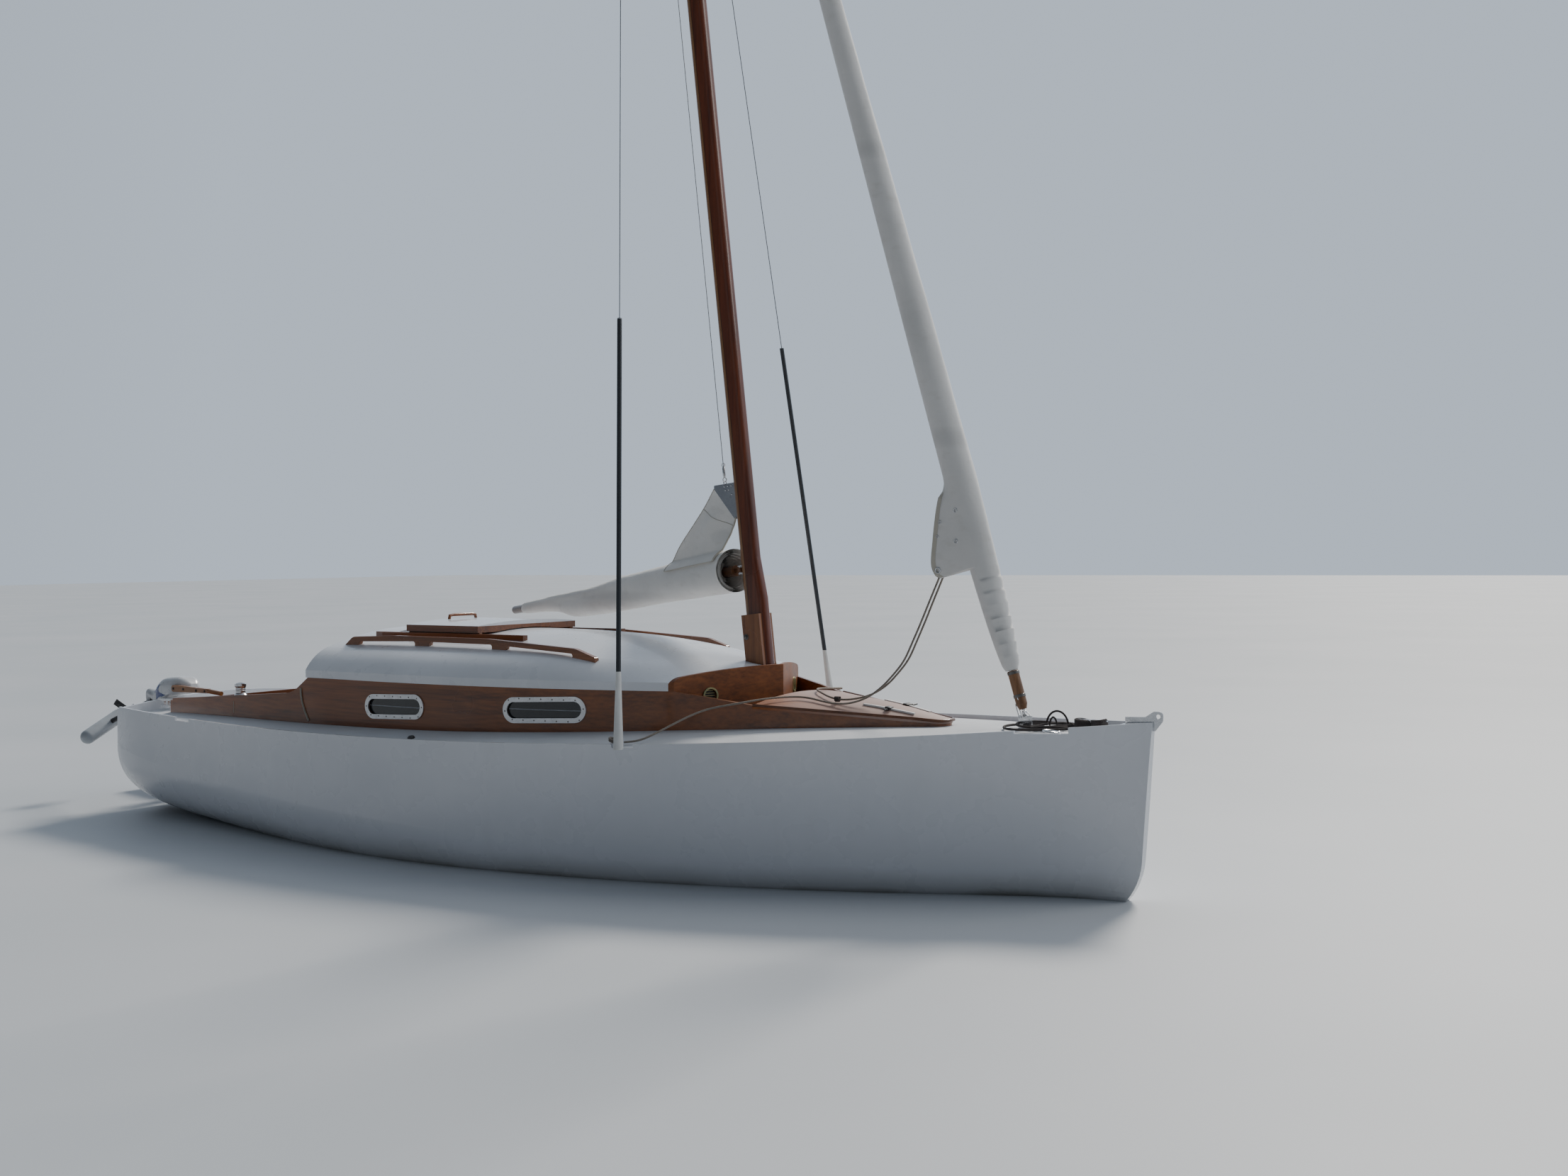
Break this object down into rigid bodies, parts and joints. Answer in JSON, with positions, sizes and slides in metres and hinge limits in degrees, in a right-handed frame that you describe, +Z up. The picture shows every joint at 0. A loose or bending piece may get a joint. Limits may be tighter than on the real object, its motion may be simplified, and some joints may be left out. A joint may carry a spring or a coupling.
{
  "type": "cabin sailing dinghy",
  "caption": "Wooden cabin sailing dinghy with rolled mainsail and jib, raked mast, centreboard, lifting rudder, sliding hatch and tilted electric outboard",
  "frame": {"origin": "on the centreline at half the hull's length, at the level of the waterline", "axes": "+X towards the bow, +Y to port, +Z up"},
  "size_m": [7.3919, 2.6666, 9.1913],
  "materials": {
    "hull_paint": "gloss white hull paint, lightly soiled at the waterline",
    "deck_paint": "matt pale grey non-slip deck paint",
    "mahogany": "varnished red-brown mahogany",
    "roof_paint": "satin white paint",
    "trim_metal": "satin anodised",
    "steel": "polished stainless",
    "brass": "weathered brass with green tarnish",
    "window_glass": "dark tinted",
    "spar_wood": "varnished spruce",
    "sailcloth": "white sailcloth",
    "black_rubber": "matt black",
    "shroud_tube": "black tube with a white boot",
    "grey_plastic": "pale grey",
    "dark_plastic": "black",
    "plywood": "oiled plywood",
    "sheet_rope": "brownish grey braided rope",
    "dark_rope": "dark braided rope"
  },
  "bodies": {
    "boat": {"hull_shell": "hull_paint", "transom": "hull_paint", "deck": "deck_paint", "cabin_side_port": "mahogany", "cabin_side_starboard": "mahogany", "window_frames": "trim_metal", "window_panes": "window_glass", "cabin_front": "mahogany", "vent_rings": "brass", "foredeck_trunk_top": "mahogany", "cabin_roof": "roof_paint", "cabin_bulkhead": "mahogany", "coaming_aft": "mahogany", "centreboard_case": "plywood", "soles": "plywood", "benches": "plywood", "handrails": "mahogany", "hatch_runners": "mahogany", "tabernacle": "mahogany", "mast": "spar_wood", "mast_fittings": "steel", "headboard": "sailcloth", "shroud_port": "shroud_tube", "shroud_starboard": "shroud_tube", "jib_roll": "sailcloth", "jib_spar": "spar_wood", "forestay": "steel", "rudder_gudgeons": "steel", "outboard_clamp": "dark_plastic", "winch_shelves": "mahogany", "winches": "steel", "stem_plate": "steel", "cleats": "steel", "jib_sheet_starboard": "sheet_rope", "jib_sheet_port": "sheet_rope", "bow_line": "dark_rope"},
    "boom": {"boom_spar": "spar_wood", "mainsail_roll": "sailcloth", "sail_head": "sailcloth"},
    "hatch": {"hatch_cover": "roof_paint"},
    "rudder": {"rudder_head": "mahogany", "tiller": "spar_wood"},
    "blade": {"rudder_blade": "mahogany"},
    "board": {"centreboard": "hull_paint"},
    "outboard": {"outboard_swivel": "dark_plastic", "outboard_head": "grey_plastic", "outboard_arm": "spar_wood"},
    "motor_leg": {"outboard_shaft": "dark_plastic", "outboard_pod": "grey_plastic"},
    "screw": {"propeller": "dark_plastic"}
  },
  "joints": [
    {"name": "boom_swing", "type": "hinge", "parent": "boat", "child": "boom", "pos_m": [0.99983, 0, 1.50679], "axis": [-0.1063, 0, 0.9943], "range_deg": [-45, 99]},
    {"name": "hatch_slide", "type": "slide", "parent": "boat", "child": "hatch", "axis": [1, 0, 0], "range_m": [-0.21, 0.36]},
    {"name": "rudder_steer", "type": "hinge", "parent": "boat", "child": "rudder", "pos_m": [-3.295, 0, 0.35], "axis": [0, 0, 1], "range_deg": [-35, 35]},
    {"name": "rudder_blade_lift", "type": "hinge", "parent": "rudder", "child": "blade", "pos_m": [-3.42, 0, 0.215], "axis": [0, 1, 0], "range_deg": [-78, 10]},
    {"name": "centreboard_lower", "type": "hinge", "parent": "boat", "child": "board", "pos_m": [0.47, 0, -0.065], "axis": [0, 1, 0], "range_deg": [-75, 0]},
    {"name": "outboard_tilt", "type": "hinge", "parent": "boat", "child": "outboard", "pos_m": [-3.34, -0.35, 0.48], "axis": [0, 1, 0], "range_deg": [-70, 0]},
    {"name": "outboard_steer", "type": "hinge", "parent": "outboard", "child": "motor_leg", "pos_m": [-3.97906, -0.35, 0.48448], "axis": [0.9397, 0, 0.342], "range_deg": [-25, 105]},
    {"name": "propeller_spin", "type": "hinge", "parent": "motor_leg", "child": "screw", "pos_m": [-4.00363, -0.19593, 0.55199], "axis": [0.1445, -0.9063, -0.3971], "continuous": true}
  ]
}
